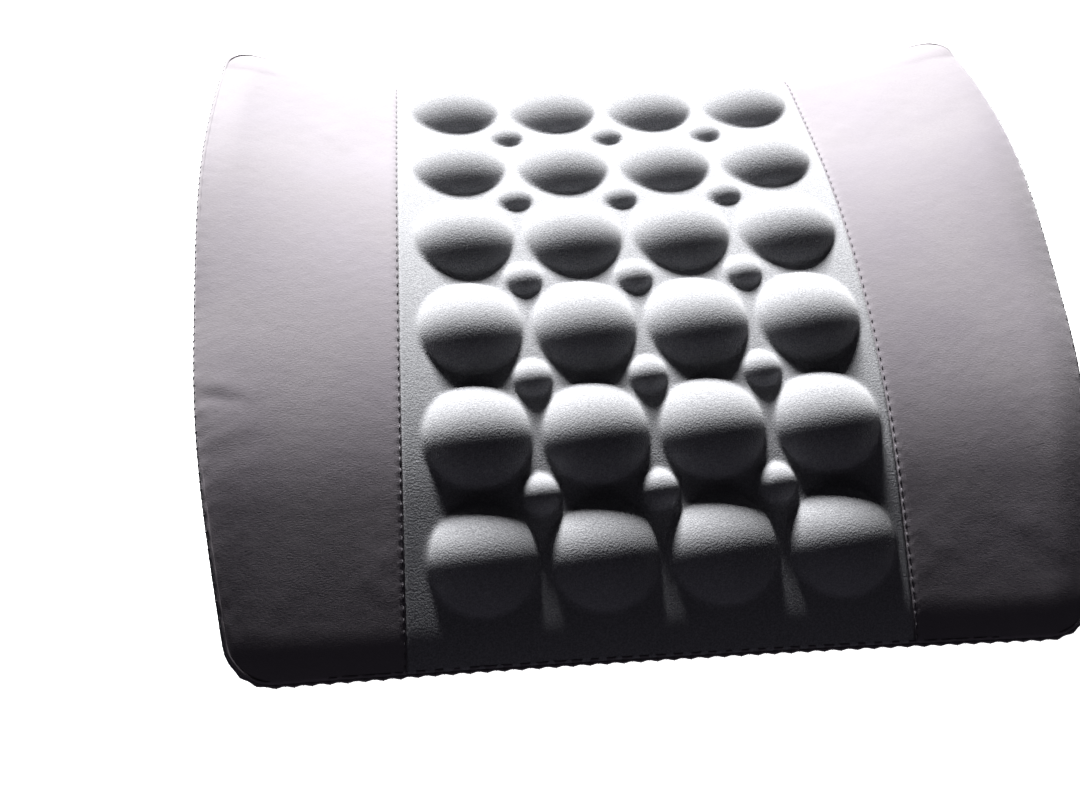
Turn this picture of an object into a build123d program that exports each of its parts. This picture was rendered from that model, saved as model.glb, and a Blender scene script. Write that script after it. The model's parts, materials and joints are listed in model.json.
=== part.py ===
from build123d import *
import math
import os

# Lumbar support cushion, lying on its flat back. Millimetres.
# X runs across the seat, +Y towards the cushion's top edge, +Z out of the padded front.
# The origin is on the floor, under the middle of the cushion's outline.

# Body
CROWN_HEIGHT = 82.0  # floor to the top of the arch, without the domes
CROWN_Y = 5.7  # the arch's crown lies a little above mid height
ARCH_RADIUS = 350.0
LOWER_TANGENT = math.radians(17.0)  # the arch runs straight below this slope
ROLL_START = 55.0  # and from here the padding rolls over towards the lower edge
ROLL_REACH = 115.0
ROLL_DROP = 7.0
UPPER_TANGENT = math.radians(13.5)
SADDLE_RADIUS = 2000.0  # the front is hollow from side to side
WING_START = 85.0  # the upper corners lift beyond this distance from the middle
WING_REACH = 108.0
WING_LOWER_Y = -22.0
WING_HEIGHT = 170.0
WING_LIFT = 17.0

# Outline of the flat back, and how far the walls lean out for each mm of height
BASE_HALF_WIDTH = 159.0
SIDE_LEAN = 0.36
BASE_LOWER_Y = -127.3
LOWER_LEAN = 0.70
BASE_UPPER_Y = 128.7
UPPER_LEAN = 0.50
CORNER_RADIUS = 20.0
BLOCK_TOP = 130.0

# Cover, lining and core, as distances in from the outside
COVER = 1.6
WALL_COVER = 2.0  # measured level, through a leaning wall
SHEET_TOP = 1.65
SHEET_BOTTOM = 2.65
LINER_TOP = 2.75
LINER = 0.5
LINER_WALL = 2.4
CORE_GAP = 0.05
CORE_RIM_RADIUS = 10.0  # the core's upper rim is rounded over
SHEET_WALL_GAP = 16.0  # the sheet ends before the rounded rim
SHEET_SIDE_GAP = 3.0
PANEL_HALF_WIDTH = 102.0
PANEL_GAP = 0.05

# Domes
COLUMN_PITCH = 50.0
ROW_PITCH = 51.2
LARGE_COLUMNS = 4
LARGE_ROWS = 6
ROW_SHIFT = 2.0  # the rows sit this far above the middle of the arch
LARGE_FOOT = 23.2  # radius of a dome where it meets the panel
LARGE_EDGE = math.radians(50.0)  # and its slope there
SMALL_FOOT = 8.9
SMALL_EDGE = math.radians(55.0)
INSERT_GAP = 0.05

# Strap channel and webbing
CHANNEL_HALF_WIDTH = 22.0
CHANNEL_DEPTH = 13.0
WEBBING_WIDTH = 25.0
WEBBING = 1.5
MAIN_LAYER_Z = 9.95  # middle of the layer next to the cushion
TAIL_LAYER_Z = 8.25
LOOP_BOTTOM_Z = 5.05
STRAP_END = 158.0
ANCHOR_LENGTH = 26.0
ANCHOR_WIDTH = 30.0

# Zip, on the leaning lower wall
ZIP_HALF_LENGTH = 115.0
ZIP_HALF_WIDTH = 12.0
ZIP_HEIGHT = 27.0  # up the wall from the floor edge
SLIDER_X = 99.0

FAR = 400.0


def arch_point(s):
    """Height below the crown and distance from it at arc length s up the front."""
    tangent = UPPER_TANGENT if s > 0 else LOWER_TANGENT
    turn = min(abs(s) / ARCH_RADIUS, tangent)
    run = abs(s) - turn * ARCH_RADIUS
    y = ARCH_RADIUS * math.sin(turn) + run * math.cos(turn)
    drop = ARCH_RADIUS * (1 - math.cos(turn)) + run * math.sin(turn)
    return math.copysign(y, s), drop


def arch_drop(y):
    """How far the front lies below the crown at distance y from it."""
    tangent = UPPER_TANGENT if y > 0 else LOWER_TANGENT
    turn = min(math.asin(min(abs(y) / ARCH_RADIUS, 1.0)), tangent)
    run = abs(y) - ARCH_RADIUS * math.sin(turn)
    roll = ROLL_DROP * (max(-y - ROLL_START, 0.0) / ROLL_REACH) ** 2
    return ARCH_RADIUS * (1 - math.cos(turn)) + run * math.tan(turn) + roll


def front_height(x, y):
    """Height of the front cover above the floor."""
    across = min(max((abs(x) - WING_START) / WING_REACH, 0.0), 1.2)
    along = min(max((y - WING_LOWER_Y) / WING_HEIGHT, 0.0), 1.2)
    wing = WING_LIFT * across**2 * along**2 * (3 - 2 * min(along, 1.0))
    return CROWN_HEIGHT - arch_drop(y - CROWN_Y) + x * x / (2 * SADDLE_RADIUS) + wing


def front_normal(x, y):
    step = 0.5
    slope_x = (front_height(x + step, y) - front_height(x - step, y)) / (2 * step)
    slope_y = (front_height(x, y + step) - front_height(x, y - step)) / (2 * step)
    return Vector(-slope_x, -slope_y, 1).normalized()


GRID_X = [-220 + 20 * i for i in range(23)]
GRID_Y = [-220 + 20 * i for i in range(23)]
FRONT_POINTS = [[Vector(x, y, front_height(x, y)) for y in GRID_Y] for x in GRID_X]
FRONT_FACE = Face.make_surface_from_array_of_points(FRONT_POINTS, tol=0.02, max_deg=4)


def below_front(depth):
    """Everything under the front cover's surface, lowered by depth."""
    return Solid.extrude(Pos(0, 0, -depth) * FRONT_FACE, Vector(0, 0, -FAR))


def outline_at(height, inset):
    """The cushion's outline at one height, as a rounded rectangle."""
    half_width = BASE_HALF_WIDTH + SIDE_LEAN * height - inset
    lower = BASE_LOWER_Y - LOWER_LEAN * height + inset
    upper = BASE_UPPER_Y + UPPER_LEAN * height - inset
    middle = (lower + upper) / 2
    sketch = RectangleRounded(2 * half_width, upper - lower, CORNER_RADIUS - inset)
    return Pos(0, middle, height) * sketch


def wall_block(inset, floor):
    """The leaning-walled block that gives the sides of the cushion."""
    return loft([outline_at(floor, inset), outline_at(BLOCK_TOP, inset)], ruled=True)


def slab(x_low, x_high, y_low, y_high, z_low, z_high):
    size = (x_high - x_low, y_high - y_low, z_high - z_low)
    corner = (Align.MIN, Align.MIN, Align.MIN)
    return Pos(x_low, y_low, z_low) * Box(*size, align=corner)


def channel_block(grow):
    """The strap channel across the back, with its walls grown outwards."""
    half = CHANNEL_HALF_WIDTH + grow
    return slab(-FAR, FAR, -half, half, -FAR, CHANNEL_DEPTH + grow)


def whole(shape, count=1):
    """The solids of a shape, largest first, as one compound or a single solid."""
    solids = sorted(shape.solids(), key=lambda s: -s.volume)[:count]
    return solids[0] if count == 1 else Compound(children=solids)


def save(shape, node):
    export_step(shape, f"parts/{node}.step")


os.makedirs("parts", exist_ok=True)

outer_block = wall_block(0, 0)
inner_block = wall_block(WALL_COVER, 0)
under_cover = below_front(COVER)
front_skin = (outer_block & below_front(0)) - under_cover

# ---------------------------------------------------------------- front cover
half = PANEL_HALF_WIDTH
side_skin_right = front_skin & slab(half + PANEL_GAP, FAR, -FAR, FAR, -FAR, FAR)
side_skin_left = front_skin & slab(-FAR, -half - PANEL_GAP, -FAR, FAR, -FAR, FAR)
save(whole(side_skin_left), "side_panel_left")
save(whole(side_skin_right), "side_panel_right")


def dome_centre(x, s, rise):
    y, _ = arch_point(s)
    y += CROWN_Y
    return Vector(x, y, front_height(x, y)) + front_normal(x, y) * rise


def dome_rows(columns, rows, rise):
    """Centres of the domes, row by row from the top edge down."""
    centres = []
    for row in range(rows):
        s = ((rows - 1) / 2 - row) * ROW_PITCH + ROW_SHIFT
        xs = [(column - (columns - 1) / 2) * COLUMN_PITCH for column in range(columns)]
        centres.append([dome_centre(x, s, rise) for x in xs])
    return centres


LARGE_RADIUS = LARGE_FOOT / math.sin(LARGE_EDGE)
LARGE_RISE = -LARGE_RADIUS * math.cos(LARGE_EDGE)  # the ball's centre is below the panel
SMALL_RADIUS = SMALL_FOOT / math.sin(SMALL_EDGE)
SMALL_RISE = -SMALL_RADIUS * math.cos(SMALL_EDGE)

large_rows = dome_rows(LARGE_COLUMNS, LARGE_ROWS, LARGE_RISE)
small_rows = dome_rows(LARGE_COLUMNS - 1, LARGE_ROWS - 1, SMALL_RISE)
domes = [(c, LARGE_RADIUS) for row in large_rows for c in row]
domes += [(c, SMALL_RADIUS) for row in small_rows for c in row]


def ball(centre, radius):
    return Pos(*centre) * Sphere(radius)


panel = front_skin & slab(-half, half, -FAR, FAR, -FAR, FAR)
caps = [ball(c, r) - under_cover for c, r in domes]
panel = panel.fuse(*caps)
panel = panel.cut(*[ball(c, r - COVER) for c, r in domes])
save(whole(panel), "front_centre_panel")


def dome_inserts(centres, radius):
    """The foam fillings of one row of domes, flat where they meet the backing sheet."""
    fill = radius - COVER - INSERT_GAP
    return [whole(ball(c, fill) - under_cover) for c in centres]


for row, centres in enumerate(large_rows, 1):
    save(Compound(children=dome_inserts(centres, LARGE_RADIUS)), f"large_dome_row_{row}")
for row, centres in enumerate(small_rows, 1):
    save(Compound(children=dome_inserts(centres, SMALL_RADIUS)), f"small_dome_row_{row}")

# ---------------------------------------------------------- inside the cover
sheet_half = half - SHEET_SIDE_GAP
sheet = wall_block(SHEET_WALL_GAP, 0) & below_front(SHEET_TOP)
sheet = (sheet - below_front(SHEET_BOTTOM)) & slab(-sheet_half, sheet_half, -FAR, FAR, -FAR, FAR)
save(whole(sheet), "dome_backing_sheet")


def padded_block(top, wall, bottom, channel_grow, rim_radius):
    """A solid filling of the cover, clear of the strap channel and round at its upper rim."""
    block = whole(wall_block(wall, 0) & below_front(top))
    block = fillet(block.faces().sort_by(Axis.Z)[-1].edges(), rim_radius)
    return block - slab(-FAR, FAR, -FAR, FAR, -FAR, bottom) - channel_block(channel_grow)


back_gap = COVER + CORE_GAP
core_top = LINER_TOP + LINER + CORE_GAP
core_wall = LINER_WALL + LINER + CORE_GAP
core_back = back_gap + LINER + CORE_GAP
hollow_top = LINER_TOP + LINER
hollow_wall = LINER_WALL + LINER
hollow_back = back_gap + LINER
hollow_radius = CORE_RIM_RADIUS + CORE_GAP
liner_radius = hollow_radius + LINER
liner = padded_block(LINER_TOP, LINER_WALL, back_gap, back_gap, liner_radius)
liner_hollow = padded_block(hollow_top, hollow_wall, hollow_back, hollow_back, hollow_radius)
core = padded_block(core_top, core_wall, core_back, core_back, CORE_RIM_RADIUS)
save(whole(liner - liner_hollow), "core_liner")
save(whole(core), "foam_core")

# ----------------------------------------------------------- walls and back
wall_ring = (outer_block - inner_block) & under_cover
wall_ring = wall_ring - slab(-FAR, FAR, -FAR, FAR, -FAR, COVER) - channel_block(COVER)
gusset_edge = BASE_HALF_WIDTH - CORNER_RADIUS
middle_slab = slab(-gusset_edge, gusset_edge, -FAR, FAR, -FAR, FAR)
save(whole(wall_ring & slab(-FAR, -gusset_edge, -FAR, FAR, -FAR, FAR), 2), "wall_panel_left")
save(whole(wall_ring & slab(gusset_edge, FAR, -FAR, FAR, -FAR, FAR), 2), "wall_panel_right")
save(whole(wall_ring & middle_slab & slab(-FAR, FAR, 0, FAR, -FAR, FAR)), "wall_panel_top")

lean = math.atan(LOWER_LEAN)
zip_middle = Vector(0, BASE_LOWER_Y - ZIP_HEIGHT * math.sin(lean), ZIP_HEIGHT * math.cos(lean))
outward = Vector(0, -math.cos(lean), -math.sin(lean))
zip_plane = Plane(origin=zip_middle, x_dir=Vector(1, 0, 0), z_dir=outward)


def on_wall(x_low, x_high, v_low, v_high, w_low, w_high):
    """A box on the lower wall: along it, up it and out of it."""
    return zip_plane * slab(x_low, x_high, v_low, v_high, w_low, w_high)


zip_window = on_wall(-ZIP_HALF_LENGTH, ZIP_HALF_LENGTH, -ZIP_HALF_WIDTH, ZIP_HALF_WIDTH, -FAR, FAR)
lower_wall = wall_ring & middle_slab & slab(-FAR, FAR, -FAR, 0, -FAR, FAR)
save(whole(lower_wall - zip_window), "wall_panel_bottom")

floor_skin = outer_block & slab(-FAR, FAR, -FAR, FAR, 0, COVER)
edge = CHANNEL_HALF_WIDTH + COVER
save(whole(floor_skin & slab(-FAR, FAR, edge, FAR, -FAR, FAR)), "back_panel_upper")
save(whole(floor_skin & slab(-FAR, FAR, -FAR, -edge, -FAR, FAR)), "back_panel_lower")
channel_skin = (channel_block(COVER) & outer_block) - channel_block(0)
save(whole(channel_skin), "strap_channel_panel")

# ---------------------------------------------------------------------- zip
# Each pair of numbers is a stretch along X, up the wall (v) or out of the wall (w)
EDGE_GAP = 0.1
TAPE_V = (0.3, ZIP_HALF_WIDTH - EDGE_GAP)
TAPE_W = (-1.3, -0.5)
STOP_X = (105.6, 108.6)
STOP_HALF_WIDTH = 3.2
STOP_OUT = 1.6
STOP_ROUND = 0.4
COIL_V = (0.05, 2.6)
COIL_OUT = 1.15
COIL_END = STOP_X[0] - EDGE_GAP


def mirrored(sign, stretch):
    """A stretch, or the same one on the other side of zero, lowest end first."""
    return sorted(sign * end for end in stretch)


for side, node in ((1, "upper"), (-1, "lower")):
    tape_end = ZIP_HALF_LENGTH - EDGE_GAP
    save(on_wall(-tape_end, tape_end, *mirrored(side, TAPE_V), *TAPE_W), f"zip_tape_{node}")
    coil = on_wall(-COIL_END, COIL_END, *mirrored(side, COIL_V), TAPE_W[1], COIL_OUT)
    save(coil, f"zip_coil_{node}")

for sign, node in ((1, "closed"), (-1, "open")):
    stop_v = (-STOP_HALF_WIDTH, STOP_HALF_WIDTH)
    stop = on_wall(*mirrored(sign, STOP_X), *stop_v, TAPE_W[1], STOP_OUT)
    save(whole(fillet(stop.edges(), STOP_ROUND)), f"zip_stop_{node}")

SLIDER_HALF_LENGTH = 4.6
SLIDER_HALF_WIDTH = 4.1
SLIDER_W = (-0.3, 2.4)
SLIDER_ROUND = 0.8
TUNNEL_HALF_WIDTH = 2.9  # the closed coils run through the slider's tunnel
TUNNEL_W = (-1.0, 1.4)
EAR_HALF = 1.9
EAR_V = (1.6, 2.7)
EAR_W = (2.2, 5.6)
PIN_W = 4.0  # height of the puller's pin above the wall
PIN_RADIUS = 0.7
PIN_PLAY = 0.06
slider_x = (SLIDER_X - SLIDER_HALF_LENGTH, SLIDER_X + SLIDER_HALF_LENGTH)
slider = on_wall(*slider_x, -SLIDER_HALF_WIDTH, SLIDER_HALF_WIDTH, *SLIDER_W)
wall_side = Plane(zip_plane.origin, z_dir=outward)
slider = fillet(slider.edges().filter_by(wall_side, reverse=True), SLIDER_ROUND)
slider -= on_wall(-FAR, FAR, -TUNNEL_HALF_WIDTH, TUNNEL_HALF_WIDTH, *TUNNEL_W)
ears = []
for side in (1, -1):
    ears.append(on_wall(SLIDER_X - EAR_HALF, SLIDER_X + EAR_HALF, *mirrored(side, EAR_V), *EAR_W))
slider = slider.fuse(*ears)
pin_axis = Plane(
    origin=zip_plane.from_local_coords(Vector(SLIDER_X, 0, PIN_W)), z_dir=zip_plane.y_dir
)
slider -= pin_axis * Cylinder(PIN_RADIUS + PIN_PLAY, 3 * SLIDER_HALF_WIDTH)
save(whole(slider), "zip_slider")

# Puller: a plate with a narrow neck between the slider's ears and a slot near its free end
PULL_LENGTH = 21.0
PULL_HALF_WIDTH = 3.0
PULL_HALF_THICKNESS = 0.6
PULL_END_ROUND = 2.0
NECK_HALF_WIDTH = 1.4
NECK_LENGTH = EAR_HALF + 1.9
SLOT_HALF_WIDTH = 1.6
SLOT_FROM_PIN = (11.0, 18.5)
HUB_RADIUS = 1.2
pull_w = (PIN_W - PULL_HALF_THICKNESS, PIN_W + PULL_HALF_THICKNESS)
pull = on_wall(SLIDER_X - PULL_LENGTH, SLIDER_X, -PULL_HALF_WIDTH, PULL_HALF_WIDTH, *pull_w)
end_edges = pull.edges().filter_by(Axis(zip_plane.origin, outward)).sort_by(Axis.X)[:2]
pull = fillet(end_edges, PULL_END_ROUND)
for side in (1, -1):
    beside_neck = mirrored(side, (NECK_HALF_WIDTH, 2 * PULL_HALF_WIDTH))
    pull -= on_wall(SLIDER_X - NECK_LENGTH, SLIDER_X + 1, *beside_neck, 0, 2 * PIN_W)
slot_x = sorted(SLIDER_X - distance for distance in SLOT_FROM_PIN)
pull -= on_wall(*slot_x, -SLOT_HALF_WIDTH, SLOT_HALF_WIDTH, 0, 2 * PIN_W)
pull = pull.fuse(
    pin_axis * Cylinder(HUB_RADIUS, 2 * NECK_HALF_WIDTH),
    pin_axis * Cylinder(PIN_RADIUS, 2 * EAR_V[1] - 0.2),
)
save(whole(pull), "zip_puller")


# -------------------------------------------------------------------- strap
def webbing(points, radii):
    """A flat strap along a route in the XZ plane."""
    route = FilletPolyline(*[(x, 0, z) for x, z in points], radius=radii)
    start = Plane(origin=route @ 0, x_dir=(0, 1, 0), z_dir=route % 0)
    return sweep(start * Rectangle(WEBBING_WIDTH, WEBBING), path=route)


TURN_X = 26.05  # where each webbing turns through its buckle
BACK_UNDER_X = 33.0  # the tail comes back under the bar, then up against the main layer
TAIL_START_X = 40.0
SEWN_TAIL_END = 56.0
FREE_TAIL_END = 112.0
TURN_RADII = [1.5, 1.5, 5.0, 5.0]


def strap_route(sign, tail_end):
    """Centre line of one webbing, from its anchor round the buckle's bar to its tail."""
    route = [
        (STRAP_END, MAIN_LAYER_Z),
        (TURN_X, MAIN_LAYER_Z),
        (TURN_X, LOOP_BOTTOM_Z),
        (BACK_UNDER_X, LOOP_BOTTOM_Z),
        (TAIL_START_X, TAIL_LAYER_Z),
        (tail_end, TAIL_LAYER_Z),
    ]
    return [(sign * x, z) for x, z in route]


save(whole(webbing(strap_route(1, SEWN_TAIL_END), TURN_RADII)), "strap_webbing_right")
save(whole(webbing(strap_route(-1, FREE_TAIL_END), TURN_RADII)), "strap_webbing_left")

anchor_bottom = MAIN_LAYER_Z + WEBBING / 2
for sign, node in ((1, "right"), (-1, "left")):
    near, far = sorted((sign * (STRAP_END - ANCHOR_LENGTH), sign * STRAP_END))
    width = ANCHOR_WIDTH / 2
    save(slab(near, far, -width, width, anchor_bottom, CHANNEL_DEPTH), f"strap_anchor_{node}")

# Side-release buckle: the socket takes the plug from the left
SOCKET_X = (-4.0, 22.0)
SOCKET_HALF = 17.5
SOCKET_Z = (3.0, 12.0)
SOCKET_ROUND = 2.4
CAVITY_END = 18.5
CAVITY_HALF = 14.5
CAVITY_Z = (5.0, 10.0)
SIDE_WINDOW_X = (4.5, 16.5)  # the prongs' thumb pads show through the side windows
END_CHAMFER = 0.8
BAR_IN, BAR_OUT = 27.0, 30.0
BAR_BOTTOM, BAR_TOP = 6.0, 9.0
BAR_ROUND = 0.8
RAIL_IN = 18.0
RAIL_HALF = 13.2  # the rails stand either side of the webbing


def strap_bar(sign):
    """The end frame that a webbing loops through: a rounded bar on two rails."""
    bar_x = mirrored(sign, (BAR_IN, BAR_OUT))
    bar = slab(*bar_x, -SOCKET_HALF, SOCKET_HALF, BAR_BOTTOM, BAR_TOP)
    frame = fillet(bar.edges().filter_by(Axis.Y), BAR_ROUND)
    rail_x = mirrored(sign, (RAIL_IN, BAR_IN + 1))
    for side in (1, -1):
        rail_y = mirrored(side, (RAIL_HALF, SOCKET_HALF))
        frame += slab(*rail_x, *rail_y, BAR_BOTTOM, BAR_TOP)
    return frame


socket = slab(*SOCKET_X, -SOCKET_HALF, SOCKET_HALF, *SOCKET_Z)
socket = fillet(socket.edges().filter_by(Axis.X), SOCKET_ROUND)
socket = chamfer(socket.edges().group_by(Axis.X)[-1], END_CHAMFER)
socket += strap_bar(1)
socket -= slab(SOCKET_X[0] - 2, CAVITY_END, -CAVITY_HALF, CAVITY_HALF, *CAVITY_Z)
for side in (1, -1):
    window_y = mirrored(side, (CAVITY_HALF - 1, SOCKET_HALF + 1))
    socket -= slab(*SIDE_WINDOW_X, *window_y, *CAVITY_Z)
save(whole(socket), "buckle_socket")

PRONG_PIVOT_X, PRONG_PIVOT_Y = -6.0, 10.0
BUCKLE_MIDDLE_Z = 7.5
PIVOT_RADIUS = 1.7
PLUG_X = (-21.0, -4.3)
PLUG_Z = (3.5, 11.5)
PLUG_ROUND = 2.2
TONGUE_HALF = 2.8  # the middle tongue lines the plug up in the socket
TONGUE_Z = (5.4, 9.6)
PRONG_POCKET_Y = (PRONG_PIVOT_Y - 5.0, PRONG_PIVOT_Y + 1.7)
PRONG_POCKET_HEIGHT = CAVITY_Z[1] - CAVITY_Z[0]
plug = slab(*PLUG_X, -SOCKET_HALF, SOCKET_HALF, *PLUG_Z)
plug = fillet(plug.edges().filter_by(Axis.X), PLUG_ROUND)
plug = chamfer(plug.edges().group_by(Axis.X)[0], END_CHAMFER)
plug += strap_bar(-1)
plug += slab(PLUG_X[1] - 0.7, CAVITY_END - 1, -TONGUE_HALF, TONGUE_HALF, *TONGUE_Z)
for side in (1, -1):
    pivot = Pos(PRONG_PIVOT_X, side * PRONG_PIVOT_Y, BUCKLE_MIDDLE_Z)
    plug -= pivot * Cylinder(PIVOT_RADIUS + PIN_PLAY, PRONG_POCKET_HEIGHT)
    pocket_y = mirrored(side, PRONG_POCKET_Y)
    plug -= slab(PRONG_PIVOT_X, SOCKET_X[0], *pocket_y, *CAVITY_Z)
save(whole(plug), "buckle_plug")

# Each prong is an arm from its pivot to a thumb pad, which catches in the side window
PRONG_HALF_WIDTH = 1.3
PRONG_HEIGHT = 4.4
PRONG_TIP_X = 15.0
PAD_END_X = 15.8
PAD_TOP_X = 10.0
PAD_START_X = 5.2
for side, node in ((1, "upper"), (-1, "lower")):
    y_in, y_out = PRONG_PIVOT_Y - PRONG_HALF_WIDTH, PRONG_PIVOT_Y + PRONG_HALF_WIDTH
    outline = [
        (PRONG_PIVOT_X, y_in),
        (PRONG_TIP_X, y_in - 1.0),
        (PAD_END_X, y_out + 0.2),
        (PAD_TOP_X, SOCKET_HALF - 0.2),
        (PAD_START_X, SOCKET_HALF - 1.3),
        (PAD_START_X, y_out),
        (PRONG_PIVOT_X, y_out),
    ]
    level = Plane.XY.offset(BUCKLE_MIDDLE_Z - PRONG_HEIGHT / 2)
    arm = extrude(level * make_face(Polyline(*outline, close=True)), PRONG_HEIGHT)
    pivot = Pos(PRONG_PIVOT_X, PRONG_PIVOT_Y, BUCKLE_MIDDLE_Z)
    arm += pivot * Cylinder(PIVOT_RADIUS, PRONG_HEIGHT)
    prong = arm if side > 0 else mirror(arm, Plane.XZ)
    save(whole(prong), f"buckle_prong_{node}")

# Keeper that holds the webbing's tail against its main layer
KEEPER_X = -78.0
KEEPER_HALF_LENGTH = 4.0
KEEPER_HALF_WIDTH = 15.6
KEEPER_Z = (5.7, 12.5)
KEEPER_ROUND = 1.6
KEEPER_HOLE_HALF = 12.9
KEEPER_HOLE_Z = (7.2, 11.0)
keeper_x = (KEEPER_X - KEEPER_HALF_LENGTH, KEEPER_X + KEEPER_HALF_LENGTH)
keeper = slab(*keeper_x, -KEEPER_HALF_WIDTH, KEEPER_HALF_WIDTH, *KEEPER_Z)
keeper = fillet(keeper.edges().filter_by(Axis.X), KEEPER_ROUND)
keeper -= slab(-FAR, 0, -KEEPER_HOLE_HALF, KEEPER_HOLE_HALF, *KEEPER_HOLE_Z)
save(whole(keeper), "strap_keeper")
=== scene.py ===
import json
import math

import bmesh
import bpy
import numpy as np
from mathutils import Matrix, Vector


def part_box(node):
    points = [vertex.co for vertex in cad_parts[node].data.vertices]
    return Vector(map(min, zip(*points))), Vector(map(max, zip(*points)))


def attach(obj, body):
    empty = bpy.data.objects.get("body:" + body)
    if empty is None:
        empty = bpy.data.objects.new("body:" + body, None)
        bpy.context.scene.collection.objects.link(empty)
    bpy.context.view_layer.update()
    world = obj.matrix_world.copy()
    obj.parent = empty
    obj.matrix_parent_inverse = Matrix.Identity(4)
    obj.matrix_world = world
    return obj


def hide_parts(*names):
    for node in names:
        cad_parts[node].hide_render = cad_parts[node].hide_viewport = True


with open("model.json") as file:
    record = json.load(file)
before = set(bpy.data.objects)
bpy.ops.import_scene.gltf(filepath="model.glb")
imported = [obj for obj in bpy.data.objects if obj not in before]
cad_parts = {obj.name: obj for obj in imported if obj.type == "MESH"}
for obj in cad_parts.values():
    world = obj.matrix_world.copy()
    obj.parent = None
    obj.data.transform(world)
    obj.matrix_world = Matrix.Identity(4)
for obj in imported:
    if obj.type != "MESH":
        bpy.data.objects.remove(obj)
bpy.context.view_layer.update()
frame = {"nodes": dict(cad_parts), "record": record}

# Lumbar support cushion lying on its back. The geometry below is worked out in millimetres
# and handed to Blender in metres, in the frame's own axes.
MM = 0.001
BODY = "cushion"
RNG = np.random.default_rng(7)


def box_mm(node):
    """A CAD node's lowest and highest corners, in millimetres."""
    low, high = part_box(node)
    return np.array(low) / MM, np.array(high) / MM


# ---- the cushion's shape
CROWN_HEIGHT = 82.0
CROWN_Y = 5.7
ARCH_RADIUS = 350.0
LOWER_TANGENT = math.radians(17.0)
UPPER_TANGENT = math.radians(13.5)
ROLL_START = 55.0  # from here the padding rolls over towards the lower edge
ROLL_REACH = 115.0
ROLL_DROP = 7.0
SADDLE_RADIUS = 2000.0
WING_START = 85.0
WING_REACH = 108.0
WING_LOWER_Y = -22.0
WING_HEIGHT = 170.0
WING_LIFT = 17.0
SIDE_LEAN = 0.36
LOWER_LEAN = 0.70
UPPER_LEAN = 0.50
CORNER_RADIUS = 20.0
COVER = box_mm("back_panel_upper")[1][2]  # the cover's thickness
BASE_HALF_WIDTH = box_mm("back_panel_upper")[1][0] - SIDE_LEAN * COVER
BASE_LOWER_Y = box_mm("back_panel_lower")[0][1] + LOWER_LEAN * COVER
BASE_UPPER_Y = box_mm("back_panel_upper")[1][1] - UPPER_LEAN * COVER
SEAM_X = box_mm("front_centre_panel")[1][0]
CHANNEL_HALF = box_mm("strap_channel_panel")[1][1] - COVER
CHANNEL_DEPTH = box_mm("strap_channel_panel")[1][2] - COVER
RIM_DROP = 4.0  # the padding rolls over towards the outer seam
RIM_REACH = 17.0
LOWER_RIM_EASE = 0.45  # less along the lower edge, where the front already rolls over


def smooth(t):
    """From 0 to 1 with level ends."""
    t = np.clip(t, 0, 1)
    return t * t * (3 - 2 * t)


def front_height(x, y):
    """The padded front before it rolls over at the rim."""
    away = np.abs(y - CROWN_Y)
    tangent = np.where(y > CROWN_Y, UPPER_TANGENT, LOWER_TANGENT)
    turn = np.minimum(np.arcsin(np.clip(away / ARCH_RADIUS, 0, 1)), tangent)
    run = away - ARCH_RADIUS * np.sin(turn)
    roll = ROLL_DROP * (np.maximum(CROWN_Y - y - ROLL_START, 0) / ROLL_REACH) ** 2
    drop = ARCH_RADIUS * (1 - np.cos(turn)) + run * np.tan(turn) + roll
    across = np.clip((np.abs(x) - WING_START) / WING_REACH, 0, 1.2)
    along = np.clip((y - WING_LOWER_Y) / WING_HEIGHT, 0, 1.2)
    wing = WING_LIFT * across**2 * along**2 * (3 - 2 * np.minimum(along, 1))
    return CROWN_HEIGHT - drop + x * x / (2 * SADDLE_RADIUS) + wing


def side_edge(y):
    """How far out the side edge lies at y."""
    half = np.full(np.shape(y), BASE_HALF_WIDTH + SIDE_LEAN * CROWN_HEIGHT)
    for _ in range(12):
        half = BASE_HALF_WIDTH + SIDE_LEAN * front_height(half, y)
    return half


ARC_START = 0.754  # share of a side panel's width where its rounded corners begin
# A column's place across the front: -1 to 1 over the centre panel, 1 to 2 over the side
# panel's straight part, and 2 to 3 round its corners.


def column_share(c):
    """Share of the side panel's width at column place c, and the corner's turn there."""
    away = np.abs(c)
    theta = np.clip(away - 2, 0, 1) * math.pi / 2
    straight = np.clip(away - 1, 0, 1) * ARC_START
    return straight + (1 - ARC_START) * np.sin(theta), theta


SEAM_FLARE = 3.2  # the left seam is sewn a little wide at the crown, and wider lower down
SEAM_FLARE_SLOPE = 0.0145


def seam_x(side, y):
    """How far out the seam beside the centre panel lies, on the side of the given sign."""
    return SEAM_X + np.where(side < 0, SEAM_FLARE - SEAM_FLARE_SLOPE * y, 0)


def column_x(c, y):
    """Place across the front of column place c, at y."""
    share, _ = column_share(c)
    seam = seam_x(c, y)
    inner = np.clip(np.abs(c), 0, 1) * seam
    return np.sign(c) * (inner + share * (side_edge(y) - seam))


def column_end(c, upper):
    """Where a column meets the lower or upper edge: y with the rounded corner, y without."""
    _, theta = column_share(c)
    inset = CORNER_RADIUS * (1 - np.cos(theta))
    sign, base, lean = (1, BASE_UPPER_Y, UPPER_LEAN) if upper else (-1, BASE_LOWER_Y, LOWER_LEAN)
    y = base + sign * lean * 50 + 0 * c
    for _ in range(14):
        y = base + sign * lean * front_height(column_x(c, y), y) - sign * inset
    return y, y + sign * inset


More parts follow.
